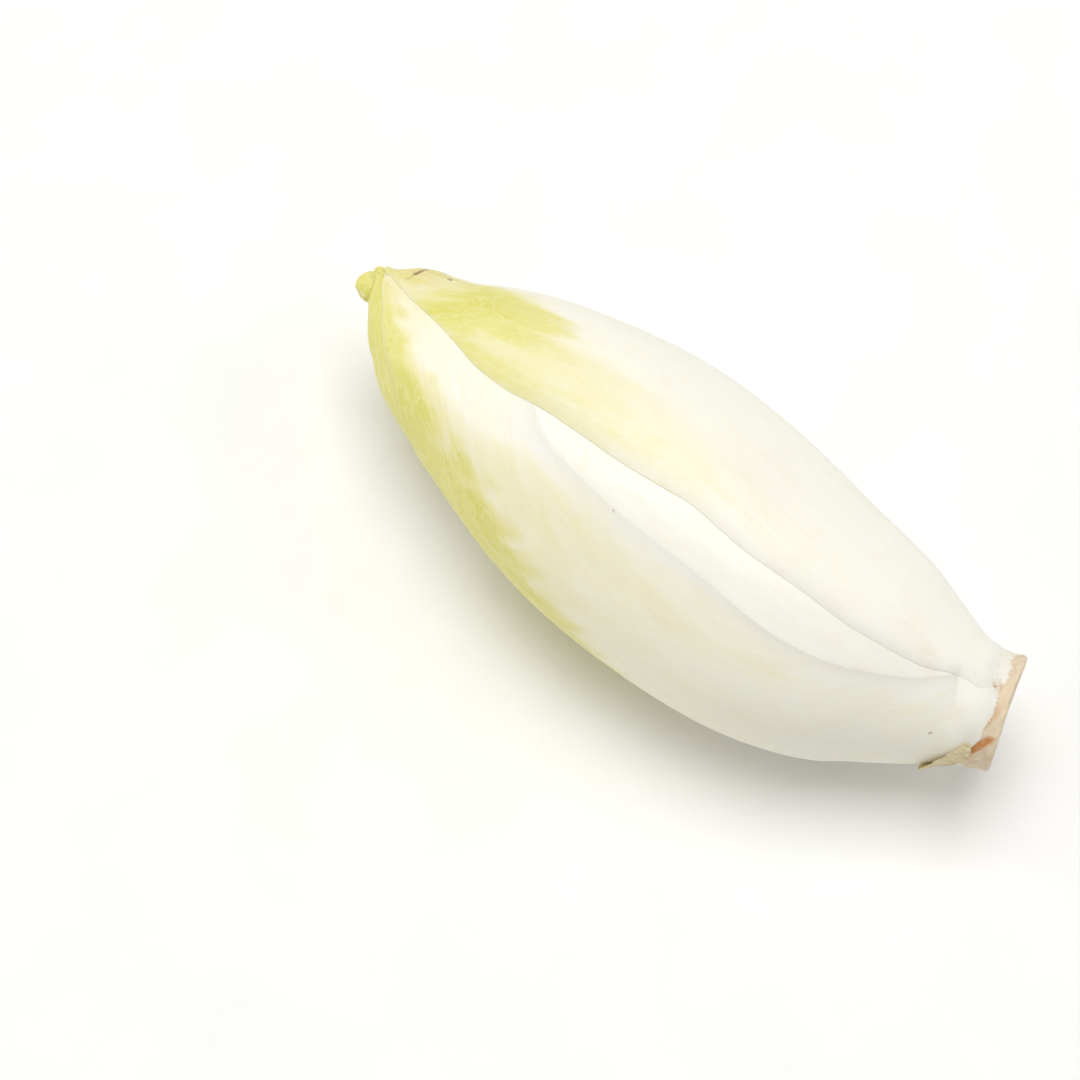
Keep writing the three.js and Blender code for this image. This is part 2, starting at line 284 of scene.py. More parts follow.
# Further in, the leaves start higher on the stem, end lower, and wrap further round.
innerLeaves = {
    "count": 13, "middleCount": 6, "base": (10, 50), "tip": (145, 95), "rib": (3.0, 2.2), "edge": 0.5,
    "outermostSpans": [56, 68, 76, 80, 82, 78, 66], "innermostSpans": [92, 100, 108, 114, 113, 104, 84],
    "turns": [0, 0, 0, 0, 3, 10, 20], "columns": 44, "rows": 56,
}


def innerLeaf(index):
    depth = index / (innerLeaves["count"] - 1)
    middle = index < innerLeaves["middleCount"]
    number = index + 1 if middle else index + 1 - innerLeaves["middleCount"]
    base, tip = innerLeaves["base"], innerLeaves["tip"]
    spans = zip(innerLeaves["outermostSpans"], innerLeaves["innermostSpans"])
    return {
        "name": f"{'middle' if middle else 'inner'}Leaf{number}",
        "node": f"{'middle' if middle else 'inner'}_leaf_{number}",
        "slot": "inner_leaf", "finish": "inner",
        "base": mix(*base, depth), "tip": mix(*tip, depth ** 1.5), "rib": mix(*innerLeaves["rib"], depth),
        "edge": innerLeaves["edge"], "point": 2,
        "spans": [mix(a, b, depth) for a, b in spans], "turns": innerLeaves["turns"],
        "columns": innerLeaves["columns"], "rows": innerLeaves["rows"],
        "green": 1, "greenStations": (70, 125), "whiteSpan": (14, 56),
    }


leaves = [upperOuterLeaf, frontOuterLeaf, backOuterLeaf, wedgeLeaf, lowerLeaf]
leaves += [innerLeaf(index) for index in range(innerLeaves["count"])]


def stationTable(points):
    curve = splineAt(points, np.linspace(0, 1, 1200))
    return curve[:, 0], curve[:, 1]


for order, leaf in enumerate(leaves):
    leaf["roll"] = head["firstRoll"] - head["divergence"] * order
    leaf["from"], leaf["to"] = outlineParameter(leaf["base"]), outlineParameter(leaf["tip"])
    if "sides" in leaf:
        leaf["lowSide"] = stationTable([(s, low) for s, low, high in leaf["sides"]])
        leaf["highSide"] = stationTable([(s, high) for s, low, high in leaf["sides"]])
        steps = np.linspace(0, 1, 600)
        stations = np.interp(mix(leaf["from"], leaf["to"], steps), curveSteps, outlineCurve[:, 0])
        low, high = np.interp(stations, *leaf["lowSide"]), np.interp(stations, *leaf["highSide"])
        leaf["spanTable"], leaf["midribTable"] = (steps, (high - low) / 2), (steps, (high + low) / 2)
    else:
        leaf["spanTable"] = splineTable(leaf["spans"])
        steps, turns = splineTable(leaf["turns"])
        leaf["midribTable"] = steps, leaf["roll"] + turns


# how a leaf closes at its tip and thins out: places as shares of its length, v, and sizes of the full size
taper = {
    "closeFrom": 0.86, "close": 0.97,
    "ribAtBase": 0.1, "baseRib": (0, 0.18), "ribAtTip": 0.16, "tipRib": (0.3, 1),
    "edgeAtBase": 0.35, "gapAtBase": 0.4, "baseFade": (0.15, 0.45), "fullness": 1.4,
}


def halfWidth(leaf, v):
    closing = 0
    if "sides" not in leaf:
        closing = np.clip((v - taper["closeFrom"]) / (1 - taper["closeFrom"]), 0, 1)
    return np.interp(v, *leaf["spanTable"]) * np.sqrt(1 - taper["close"] * closing ** leaf["point"])


def midribRoll(leaf, v):
    return np.interp(v, *leaf["midribTable"])


def thickness(leaf, u, v):
    nearBase = mix(taper["ribAtBase"], 1, smoothStep(v, *taper["baseRib"]))
    nearTip = mix(1, taper["ribAtTip"], smoothStep(v, *taper["tipRib"]))
    edge = leaf["edge"] * mix(taper["edgeAtBase"], 1, smoothStep(v, *taper["baseFade"]))
    return edge + leaf["rib"] * nearBase * nearTip * np.maximum(0, 1 - u * u) ** taper["fullness"]


def pile(some, q, roll, radius):
    # the height of a pile of leaves, with the air between them
    height = np.zeros(np.shape(roll))
    slack = head["bridgeSlack"]
    for leaf in some:
        v = (q - leaf["from"]) / (leaf["to"] - leaf["from"])
        half = np.maximum(halfWidth(leaf, v), 1)
        off = turned(roll - midribRoll(leaf, v))
        beyondSide = np.radians(np.abs(off) - half) * radius
        length = leaf["tip"] - leaf["base"]
        share = ((1 - smoothStep(beyondSide, slack, slack + head["bridgeSide"]))
                 * (1 - smoothStep((v - 1) * length, slack, slack + head["bridgeTip"]))
                 * (1 - smoothStep(-v * length, 0, head["bridgeBase"] + 0.15 * leaf["base"])))
        gap = head["gap"] * mix(taper["gapAtBase"], 1, smoothStep(v, *taper["baseFade"]))
        height += share * (thickness(leaf, np.clip(off / half, -1, 1), np.clip(v, 0, 1)) + gap)
    return height


# forms that go through all the leaves, which lie one on another like cloths
fold = {
    # a swelling beside the upper leaf's margin, and a valley along it
    "ridge": 0.6, "ridgeRise": 3.6, "ridgeFall": (9, 22), "ridgeStations": (36, 82, 112, 132),
    "valley": 0.3, "valleyWidths": (1.4, 4.0), "valleyStations": (30, 76, 112, 128),
    "tipValley": 0.3, "tipValleyStations": (110, 126, 136, 143),
    # a shallow groove along the front leaf's margin
    "seam": 0.12, "seamWidths": (2.2, 1.4), "seamStations": (40, 60, 84, 98),
    # a soft crease round the front leaf's base, and the swelling under it
    "crease": 0.55, "creaseWidths": (0.7, 1.1), "creaseStation": 10.6, "creaseSlant": 0.045,
    "creaseRolls": (-58, -34, -4, 6), "boss": 0.35, "bossStations": (3, 5.5, 6.5),
    # the crease near the tip, and the hump that it runs over
    "tipCrease": 0.3, "tipCreaseAt": 143.1, "tipCreaseWidths": (0.45, 0.45),
    "tipCreaseRolls": (8, 22, 58, 75),
    "hump": 0.65, "humpAt": (142.2, 68), "humpSize": (3.4, 26),
    # broad unevenness all over
    "lumps": 0.3, "lumpSize": (30, 34), "lumpStations": (16, 40, 128, 144), "lumpSeed": 21,
}


def between(s, a, b, c, d):
    return smoothStep(s, a, b) * (1 - smoothStep(s, c, d))


def groove(distance, low, high):
    # a V that is softened at its bottom, with a width on each side
    width = np.where(distance < 0, low, high)
    return np.exp(-np.sqrt((distance / width) ** 2 + 0.04) + 0.2)


def surfaceDepth(s, roll, radius):
    # how far the outermost surface lies under the outline
    under = np.radians(turned(np.interp(s, *upperOuterLeaf["lowSide"]) - roll)) * radius
    over = np.radians(turned(roll - np.interp(s, *frontOuterLeaf["highSide"]))) * radius
    ridge = smoothStep(under, 0, fold["ridgeRise"]) * (1 - smoothStep(under, *fold["ridgeFall"]))
    depth = head["depth"] - fold["ridge"] * ridge * between(s, *fold["ridgeStations"])
    near = between(s, *fold["valleyStations"]) + fold["tipValley"] * between(s, *fold["tipValleyStations"])
    depth += fold["valley"] * near * groove(-under, *fold["valleyWidths"])
    depth += fold["seam"] * between(s, *fold["seamStations"]) * groove(over, *fold["seamWidths"])

    creaseAt = fold["creaseStation"] + fold["creaseSlant"] * (roll + 5)
    here = between(roll, *fold["creaseRolls"])
    depth += fold["crease"] * here * groove(s - creaseAt, *fold["creaseWidths"])
    depth -= fold["boss"] * here * between(s, *fold["bossStations"], creaseAt)
    nearTip = fold["tipCrease"] * between(roll, *fold["tipCreaseRolls"])
    depth += nearTip * groove(s - fold["tipCreaseAt"], *fold["tipCreaseWidths"])
    humpS, humpRoll = fold["humpAt"]
    humpLength, humpWidth = fold["humpSize"]
    depth -= fold["hump"] * np.exp(-((s - humpS) / humpLength) ** 2
                                   - (turned(roll - humpRoll) / humpWidth) ** 2)

    lumpWidth, lumpLength = fold["lumpSize"]
    lumps = noiseField(roll / lumpWidth + 50, s / lumpLength, fold["lumpSeed"])
    return depth + fold["lumps"] * lumps * between(s, *fold["lumpStations"])


# how the grid lines close up along a leaf's margins, which are rounded
rim = {"lines": 3, "distances": [0, 0.08, 0.26, 0.7], "sharpest": 0.3}


def rimmed(x, count, halfLength):
    # spreads grid lines from -1 to 1, with a few close together along each edge
    fromEdge = (1 - np.abs(x)) * count / 2
    lines = rim["lines"]
    close = np.interp(fromEdge, range(lines + 1), rim["distances"]) / np.maximum(halfLength, 2.5)
    start = rim["distances"][-1] / np.maximum(halfLength, 2.5)
    even = mix(start, 1, (fromEdge - lines) / (count / 2 - lines))
    return np.sign(x) * (1 - np.where(fromEdge < lines, close, even))


# small forms on the outside of a leaf: their heights, and their sizes across and along it
skin = {
    "ribs": 0.09, "ribSize": (3.3, 46), "blisters": 0.1, "blisterSize": (3.4, 5.2),
    "fine": 0.025, "fineSize": (1.3, 2.2), "tipStations": (95, 140, 143, 148), "smoothMargin": (0.2, 3.5),
    # a leaf's margin is thickened a little way in from its edge
    "roll": 0.16, "rollAt": 1.4, "rollWidth": 0.9,
}


def relief(order, s, across, fromMargin):
    def bumps(height, size, seed, layers):
        return height * layeredNoise(across / size[0], s / size[1], seed, layers)

    seed = 40 + order * 11
    tipness = between(s, *skin["tipStations"])
    ribs = bumps(skin["ribs"], skin["ribSize"], seed, 2) * (1 - 0.6 * tipness) * smoothStep(s, 8, 26)
    blisters = bumps(skin["blisters"], skin["blisterSize"], seed + 5, 3)
    blisters *= tipness * smoothStep(np.abs(across), 1, 7)
    fine = bumps(skin["fine"], skin["fineSize"], seed + 6, 2) * smoothStep(s, 8, 20)
    margin = np.exp(-((fromMargin - skin["rollAt"]) / skin["rollWidth"]) ** 2)
    margin *= skin["roll"] * smoothStep(s, 100, 122)
    return (ribs + blisters + fine) * smoothStep(fromMargin, *skin["smoothMargin"]) + margin


# how the green comes and goes: sizes across and along the leaf, and how far its limits wander
greening = {
    "patchSize": (8, 12), "patchWander": 2, "runSize": (3.2, 46), "runWander": 10,
    "featherSize": (3.2, 17), "featherWander": 9, "rollWander": 5, "uneven": 0.15, "paleMargin": 0.25,
}


def greenness(leaf, order, v, s, roll, across, fromMargin):
    # strongest towards the tip and the sides, with a white midrib and a pale margin
    seed = 300 + order * 7
    patchWidth, patchLength = greening["patchSize"]
    patches = layeredNoise(across / patchWidth, s / patchLength, seed, 3)
    runWidth, runLength = greening["runSize"]
    runs = layeredNoise(across / runWidth + 40, s / runLength, seed + 4, 3)
    if "tints" not in leaf:
        along = smoothStep(s + 7 * patches, *leaf["greenStations"])
        fromRib = np.abs(turned(roll - midribRoll(leaf, v)))
        side = smoothStep(fromRib + greening["rollWander"] * patches, *leaf["whiteSpan"])
        amount = along * mix(mix(0.08, 0.8, smoothStep(s, 118, 142)), 1, side) * (1 + 0.2 * patches)
    else:
        shifted = s + greening["patchWander"] * patches + greening["runWander"] * runs
        amount = np.interp(shifted, *stationTable(leaf["tints"]))
        wander = turned(roll) + greening["rollWander"] * patches
        if "darkTints" in leaf:
            fromWhite = np.interp(s, *stationTable(leaf["whiteRolls"])) - wander
            amount = amount * smoothStep(fromWhite, 4, 18) + 0.4 * amount * smoothStep(-fromWhite, 10, 26)
            amount = np.maximum(amount, np.interp(s, *stationTable(leaf["whiteTints"])))
            # pale veins run slantwise in from the side, and feather the green
            width, length = greening["featherSize"]
            feather = layeredNoise((across - s) / length, (across + s) / width, seed + 8, 2)
            fromDark = np.interp(s, *stationTable(leaf["darkRolls"])) - wander
            dark = smoothStep(fromDark + greening["featherWander"] * feather, -10, 13)
            dark *= 1 - 0.35 * smoothStep(-feather, 0.1, 0.6)
            amount = mix(amount, np.interp(shifted, *stationTable(leaf["darkTints"])), dark)
        else:
            limit = np.interp(shifted, *stationTable(leaf["tintRolls"]))
            faded = smoothStep(wander, limit - 12, limit + 12)
            amount *= mix(1, 0.08, faded) + 0.45 * smoothStep(wander, 70, 88) * smoothStep(s, 100, 125)
        amount = amount * (1 + greening["uneven"] * patches)
    amount *= 1 - greening["paleMargin"] * np.exp(-fromMargin ** 2) * smoothStep(s, 100, 120)
    return np.clip(leaf["green"] * amount, 0, 1)


# orange-brown where the leaf bases have dried along their edge, in front only
dryEdge = {"width": 1.0, "uneven": 1.1, "narrowest": 0.35, "strength": 0.6, "rolls": (-50, -30, 3, 9)}


def staining(order, s, roll, across, fromBase):
    grains = layeredNoise(across / 0.9, s / 0.8, 500 + order, 3)
    ragged = layeredNoise(across / 2.2, s * 0, 520 + order, 2)
    width = np.maximum(dryEdge["width"] + dryEdge["uneven"] * ragged, dryEdge["narrowest"])
    edge = dryEdge["strength"] * (1 + grains) * np.exp(-(fromBase / width) ** 4)
    return np.clip(edge * between(turned(roll), *dryEdge["rolls"]), 0, 1)


# small brown marks on the outside: station, roll, size in millimetres, strength
blemishes = [
    (141.0, 64, 0.5, 0.6), (140.2, 60, 0.4, 0.7), (137.5, 43, 0.5, 0.9), (136.9, 40, 0.35, 0.7),
    (139.2, 52, 0.3, 0.5), (11.8, -55, 0.26, 1.0), (8.5, 4, 0.26, 0.3), (78.5, -28, 0.22, 0.8),
]
# with a dried line along the crease near the tip
blemishes += [(fold["tipCreaseAt"] + 0.12 * math.sin(2 * at), at, 0.36, 0.35 + 0.5 * (at > 30))
              for at in range(14, 66, 3)]
# and broader faint ones, pinkish; the one at station 142.5 is painted shade on the tip near its upper
# outline, not a blush
blushesAndPaintedShade = [
    (17.8, -2, 1.8, 0.16), (16.4, -9, 1.8, 0.14), (23, 4, 3, 0.07), (34, -4, 4, 0.05), (60, 16, 8, 0.06),
    # painted shade: darkens the tip near its upper outline
    (142.5, 46, 6.5, 0.2),
]


def marked(marks, s, roll, radius):
    total = 0 * s
    for station, at, size, strength in marks:
        away = np.hypot(s - station, np.radians(turned(roll - at)) * radius)
        total = np.maximum(total, strength * np.exp(-(away / size) ** 2))
    return total


def finishedMesh(bm, name):
    for face in bm.faces:
        face.smooth = True
    mesh = bpy.data.meshes.new(name)
    bm.to_mesh(mesh)
    bm.free()
    return mesh


def vertexPlaces(mesh):
    flat = np.empty(len(mesh.vertices) * 3)
    mesh.vertices.foreach_get("co", flat)
    return flat.reshape(-1, 3).T


def moveVertices(mesh, places):
    mesh.vertices.foreach_set("co", places.astype(np.float32).ravel())
    mesh.update()


def leafSheet(leaf):
    # a flat slab: the grid is the outside at z = 0, and its extruded copy the inside at z = -1
    bm = bmesh.new()
    bm.loops.layers.uv.new("leafMillimetres")
    bmesh.ops.create_grid(bm, x_segments=leaf["columns"], y_segments=leaf["rows"], size=1)
    made = bmesh.ops.extrude_face_region(bm, geom=bm.faces[:], use_keep_orig=True)
    inside = [part for part in made["geom"] if isinstance(part, bmesh.types.BMVert)]
    bmesh.ops.translate(bm, verts=inside, vec=(0, 0, -1))
    bmesh.ops.recalc_face_normals(bm, faces=bm.faces[:])
    return finishedMesh(bm, leaf["name"])


def setAttribute(mesh, name, values):
    layer = mesh.attributes.new(name=name, type="FLOAT", domain="POINT")
    layer.data.foreach_set("value", np.ascontiguousarray(values, dtype=np.float32))


def setLeafCoordinates(mesh, across, along):
    # the UV map holds millimetres across the leaf from the midrib, and along it from the cut
    corners = np.empty(len(mesh.loops), dtype=np.int32)
    mesh.loops.foreach_get("vertex_index", corners)
    uv = np.stack([across[corners], along[corners]], axis=-1).astype(np.float32)
    mesh.uv_layers[0].data.foreach_set("uv", uv.ravel())


def makeLeaf(order):
    leaf = leaves[order]
    mesh = leafSheet(leaf)
    x, y, z = vertexPlaces(mesh)

    length = leaf["tip"] - leaf["base"]
    row = (rimmed(y, leaf["rows"], length / 2) + 1) / 2
    headRadius = np.maximum(outlineRadius(mix(leaf["base"], leaf["tip"], row)), 1)
    u = rimmed(x, leaf["columns"], np.radians(halfWidth(leaf, row)) * headRadius)
    low, high = 0.01 * u * u, 1 - 0.02 * u * u      # both ends are rounded
    if "baseEdge" in leaf:
        rolls, stations = zip(*leaf["baseEdge"])
        edge = np.interp(midribRoll(leaf, 0 * u) + u * halfWidth(leaf, 0 * u), rolls, stations)
        edge = edge + leaf["ragged"] * layeredNoise(u * 14, u * 0, 60 + order, 3)
        low = (np.interp(edge, outlineCurve[:, 0], curveSteps) - leaf["from"]) / (leaf["to"] - leaf["from"])
    v = mix(low, high, row)
    q = mix(leaf["from"], leaf["to"], v)
    half = halfWidth(leaf, v)
    roll = midribRoll(leaf, v) + u * half

    point = splineAt(head["outline"], q)
    ahead = splineAt(head["outline"], q + 1e-4) - splineAt(head["outline"], q - 1e-4)
    ahead /= np.linalg.norm(ahead, axis=-1, keepdims=True)
    s, r = point.T
    outS, outR = -ahead[:, 1], ahead[:, 0]

    # the leaves are laid from the outermost inwards, and thinned where there is little room for them
    surface = surfaceDepth(s, roll, r)
    room = (r - middleRadius(s, r)) / np.maximum(outR, 0.35) - surface
    squeeze = np.clip(room / pile(leaves, q, roll, r), 0.02, 1)
    thick = thickness(leaf, u, v) * squeeze
    outer = surface + pile(leaves[:order], q, roll, r) * squeeze
    inner = outer + thick

    across = u * np.radians(half) * r
    fromSide = (1 - np.abs(u)) * np.radians(half) * r
    fromEnd = np.minimum(row, 1 - row) * length
    fromMargin = np.minimum(fromSide, fromEnd)
    inward = np.clip(fromMargin / (leaf["edge"] * 0.5), 0, 1)
    rounding = np.maximum(np.sqrt(1 - (1 - inward) ** 2), rim["sharpest"])
    middle, halfThick = (outer + inner) / 2, (inner - outer) / 2 * rounding
    outer = middle - halfThick - relief(order, s, across, fromSide)
    depth = np.where(z > -0.5, outer, middle + halfThick)

    deepS = s - depth * outS
    deepR = np.maximum(r - depth * outR, 0.2)
    world = placed(deepS, flattened(deepS, deepR, roll, outlineRadius(deepS)), roll)
    moveVertices(mesh, world)

    setLeafCoordinates(mesh, across, s)
    setAttribute(mesh, "green", greenness(leaf, order, v, s, roll, across, fromSide))
    dried = staining(order, s, roll, across, (v - low) * length)
    # the stain mask also carries the blushes, one of which is painted shade on the tip near its upper outline
    setAttribute(mesh, "stainAndPaintedShade", np.maximum(dried, marked(blushesAndPaintedShade, s, roll, r)))
    setAttribute(mesh, "brown", marked(blemishes, s, roll, r))
    return mesh


def makeTornLeaf():
    # what is left of a leaf that was pulled off: a ragged strip that stands out from the base
    leaf = tornLeafBase
    mesh = leafSheet(leaf)
    x, y, z = vertexPlaces(mesh)
    roll = mix(*leaf["rolls"], (x + 1) / 2)
    row = (y + 1) / 2
    low, high = [np.interp(roll, *zip(*leaf[side])) for side in ("lowEdge", "highEdge")]
    low = low + leaf["ragged"] * layeredNoise(roll / 6, 0 * roll, 801, 3)
    high = high + leaf["ragged"] * layeredNoise(roll / 5, 0 * roll, 804, 4)
    s = mix(low, np.maximum(high, low + 0.2), row)
    edge = np.minimum(np.minimum(row, 1 - row) * (high - low), (1 - np.abs(x)) * 20)
    thick = leaf["edge"] + leaf["rib"] * smoothStep(edge, 0, 1.5)
    out = leaf["lift"] + leaf["curl"] * smoothStep(row, 0.1, 1) * between(roll, *leaf["curlRolls"])
    out = out + leaf["wrinkles"] * layeredNoise(roll / 7, s / 1.2, 810, 3) * smoothStep(edge, 0, 0.6)
    r = outlineRadius(s) - head["depth"] + out - np.where(z > -0.5, 0, thick * np.clip(edge / 0.3, 0.15, 1))
    world = placed(s, r, roll)
    moveVertices(mesh, world)
    setLeafCoordinates(mesh, np.radians(roll) * 12, s)
    scarRoll, scarHeight = leaf["scarAt"]
    rollSize, heightSize = leaf["scarSize"]
    setAttribute(mesh, "scar", np.exp(-((roll - scarRoll) / rollSize) ** 2
                                      - ((s - low - scarHeight) / heightSize) ** 2))
    return mesh


def colour(red, green, blue):
    # an sRGB colour, each channel up to 255, as the linear colour that a shader takes
    linear = [((c / 255 + 0.055) / 1.055) ** 2.4 for c in (red, green, blue)]
    return (*linear, 1)


def newMaterial(name):
    material = bpy.data.materials.new(name)
    material.use_nodes = True
    return material, material.node_tree.nodes, material.node_tree.links


def addNode(material, kind, inputs=None, **settings):
    # adds a shader node; an input that is another node's socket is linked, and any other is set
    tree = material.node_tree
    node = tree.nodes.new(kind)
    for key, value in settings.items():
        setattr(node, key, value)
    for key, value in (inputs or {}).items():
        if isinstance(value, bpy.types.NodeSocket):
            tree.links.new(value, node.inputs[key])
        else:
            node.inputs[key].default_value = value
    return node


def stretched(material, vector, scale):
    return addNode(material, "ShaderNodeMapping", {"Vector": vector, "Scale": scale}).outputs["Vector"]


def noise(material, vector, grain, detail=3.0, roughness=0.5, distortion=0.0, dimensions="2D"):
    # grain is how many humps there are to a unit of the vector, each way
    return addNode(material, "ShaderNodeTexNoise", {
        "Vector": stretched(material, vector, grain), "Scale": 1.0,
        "Detail": detail, "Roughness": roughness, "Distortion": distortion,
    }, noise_dimensions=dimensions).outputs["Fac"]


def meshEdges(material, vector, scale):
    return addNode(material, "ShaderNodeTexVoronoi", {"Vector": vector, "Scale": scale},
                   feature="DISTANCE_TO_EDGE", voronoi_dimensions="2D").outputs["Distance"]


def sums(material, operation, a, b, clamp=False):
    return addNode(material, "ShaderNodeMath", {0: a, 1: b}, operation=operation, use_clamp=clamp).outputs[0]


def ranged(material, value, low, high, newLow=0.0, newHigh=1.0):
    return addNode(material, "ShaderNodeMapRange", {
        "Value": value, "From Min": low, "From Max": high, "To Min": newLow, "To Max": newHigh,
    }).outputs["Result"]


def ramp(material, value, stops):
    node = addNode(material, "ShaderNodeValToRGB", {"Fac": value})
    band = node.color_ramp
    while len(band.elements) < len(stops):
        band.elements.new(0.5)
    for element, (position, shade) in zip(band.elements, stops):
        element.position = position
        element.color = shade
    return node.outputs["Color"]


def blended(material, factor, a, b, blend="MIX"):
    node = addNode(material, "ShaderNodeMix", {"Factor": factor, 6: a, 7: b},
                   data_type="RGBA", blend_type=blend)
    return node.outputs[2]


def addBump(material, height, finish):
    bump = addNode(material, "ShaderNodeBump", {
        "Height": height, "Strength": finish["bump"], "Distance": finish["bumpHeight"],
    })
    shader = material.node_tree.nodes["Principled BSDF"]
    material.node_tree.links.new(bump.outputs["Normal"], shader.inputs["Normal"])


outerFinish = {
    # from the white midrib to the greenest parts
    "white": colour(249, 247, 236), "cream": colour(243, 238, 206), "yellow": colour(232, 226, 154),
    "green": colour(222, 216, 117), "vein": colour(246, 243, 206), "warm": colour(249, 240, 216),
    "brown": colour(138, 76, 54), "stainAndPaintedShade": colour(214, 150, 92), "paleStain": colour(236, 205, 160),
    # grain to the millimetre, across and along the leaf
    "streaks": (0.42, 0.035, 1), "blotches": (0.3, 0.11, 1), "patches": (0.2, 0.055, 1),
    "mottle": (0.9, 0.5, 1), "grit": (1.6, 1.6, 1), "specks": (2.6, 1.8, 1), "grain": (3.2, 1.1, 1),
    "streakStrength": 0.07, "blotchStrength": 0.2,
    # the net of veins: how close and how wide its meshes' edges are, and how far they are bent
    "veinSpacing": 0.24, "veinWidth": 0.045, "veinStrength": 0.5,
    "fineVeins": 2.7, "fineVeinWidth": 0.06, "fineVeinStrength": 0.45,
    "veinBends": 0.22, "veinBend": (5.0, 5.0, 0.0),
    "roughness": (0.36, 0.5), "bump": 0.35, "bumpHeight": 0.00025, "refraction": 1.4,
    "glow": 0.2, "glowDepth": 0.001, "glowSpread": (1.0, 0.95, 0.75),
}
innerFinish = dict(outerFinish, green=colour(230, 222, 120), white=colour(252, 248, 232))


def leafMaterial(name, finish):
    material, nodes, links = newMaterial(name)
    shader = nodes["Principled BSDF"]
    uv = addNode(material, "ShaderNodeUVMap").outputs["UV"]
    amount = addNode(material, "ShaderNodeAttribute", attribute_name="green").outputs["Fac"]

    # long streaks that follow the leaf, and soft patches
    streaks = noise(material, uv, finish["streaks"], 4.0, 0.55, 0.5)
    blotches = noise(material, uv, finish["blotches"], 5.0, 0.6, 0.8)
    patches = noise(material, uv, finish["patches"], 3.0, 0.55, 0.6)
    mottle = noise(material, uv, finish["mottle"], 4.0, 0.6, 0.4)
    varied = sums(material, "ADD", amount, sums(material, "MULTIPLY", ranged(
        material, patches, 0.25, 0.75, -0.3, 0.3), amount))
    varied = sums(material, "ADD", varied, sums(material, "MULTIPLY", ranged(
        material, mottle, 0.2, 0.8, -0.16, 0.16), amount), True)
    base = ramp(material, varied, [
        (0.0, finish["white"]), (0.25, finish["cream"]), (0.6, finish["yellow"]), (1.0, finish["green"]),
    ])
    creamy = ranged(material, streaks, 0.35, 0.75, 0.0, finish["streakStrength"])
    base = blended(material, creamy, base, finish["cream"], "MULTIPLY")
    warm = ranged(material, blotches, 0.45, 0.75, 0.0, finish["blotchStrength"])
    base = blended(material, warm, base, finish["warm"], "MULTIPLY")

    # a loose net of pale veins where the leaf is coloured
    bends = addNode(material, "ShaderNodeTexNoise", {
        "Vector": uv, "Scale": finish["veinBends"], "Detail": 1.0,
    }, noise_dimensions="2D").outputs["Color"]
    bends = addNode(material, "ShaderNodeVectorMath", {0: bends, 1: finish["veinBend"]},
                    operation="MULTIPLY").outputs[0]
    bent = addNode(material, "ShaderNodeVectorMath", {0: uv, 1: bends}, operation="ADD").outputs[0]
    cells = meshEdges(material, stretched(material, bent, (1.0, 0.55, 1)), finish["veinSpacing"])
    fineSpacing = finish["veinSpacing"] * finish["fineVeins"]
    fine = meshEdges(material, stretched(material, bent, (1.0, 0.7, 1)), fineSpacing)
    fine = ranged(material, fine, 0.0, finish["fineVeinWidth"], finish["fineVeinStrength"], 0)
    net = sums(material, "MAXIMUM", ranged(material, cells, 0.0, finish["veinWidth"], 1, 0), fine, True)
    shown = sums(material, "MULTIPLY", net, ranged(material, patches, 0.4, 0.62))
    paling = sums(material, "MULTIPLY", varied, finish["veinStrength"])
    veins = sums(material, "MULTIPLY", shown, paling, True)
    base = blended(material, veins, base, finish["vein"])

    # dried, grainy edge at the base, and faint pinkish blushes, one of them painted shade on the tip near its
    # upper outline
    stainAndPaintedShade = addNode(material, "ShaderNodeAttribute", attribute_name="stainAndPaintedShade").outputs["Fac"]
    grit = noise(material, uv, finish["grit"], 3.0, 0.6)
    gritty = sums(material, "MULTIPLY", stainAndPaintedShade, ranged(material, grit, 0.3, 0.6, 0.4, 1.2), True)
    dried = ramp(material, grit, [(0.35, finish["paleStain"]), (0.62, finish["stainAndPaintedShade"])])
    base = blended(material, gritty, base, dried)
    brown = addNode(material, "ShaderNodeAttribute", attribute_name="brown").outputs["Fac"]
    specks = noise(material, uv, finish["specks"], 2.0, 0.6)
    speckled = sums(material, "MULTIPLY", brown, ranged(material, specks, 0.3, 0.6, 0.5, 1.3))
    base = blended(material, ranged(material, speckled, 0.15, 0.65, 0.0, 0.85), base, finish["brown"])
    links.new(base, shader.inputs["Base Color"])

    grain = noise(material, uv, finish["grain"])
    coarse = sums(material, "MULTIPLY", sums(material, "ADD", streaks, blotches), 0.45)
    height = sums(material, "ADD", coarse, sums(material, "MULTIPLY", grain, 0.25))
    height = sums(material, "ADD", height, sums(material, "MULTIPLY", veins, 0.8))
    addBump(material, height, finish)
    links.new(ranged(material, mottle, 0.3, 0.7, *finish["roughness"]), shader.inputs["Roughness"])
    shader.inputs["IOR"].default_value = finish["refraction"]
    shader.inputs["Subsurface Weight"].default_value = finish["glow"]
    shader.inputs["Subsurface Radius"].default_value = finish["glowSpread"]
    shader.inputs["Subsurface Scale"].default_value = finish["glowDepth"]
    return material


stemFinish = {
    "flesh": colour(240, 238, 226), "burnt": colour(202, 134, 66), "roughness": 0.6,
    "darkDry": colour(220, 196, 164), "dry": colour(228, 210, 180), "paleDry": colour(234, 218, 188),
    "fibres": (900, 150, 600), "blots": (420, 420, 420),        # grain to the metre
    "bump": 0.5, "bumpHeight": 0.0003,
}


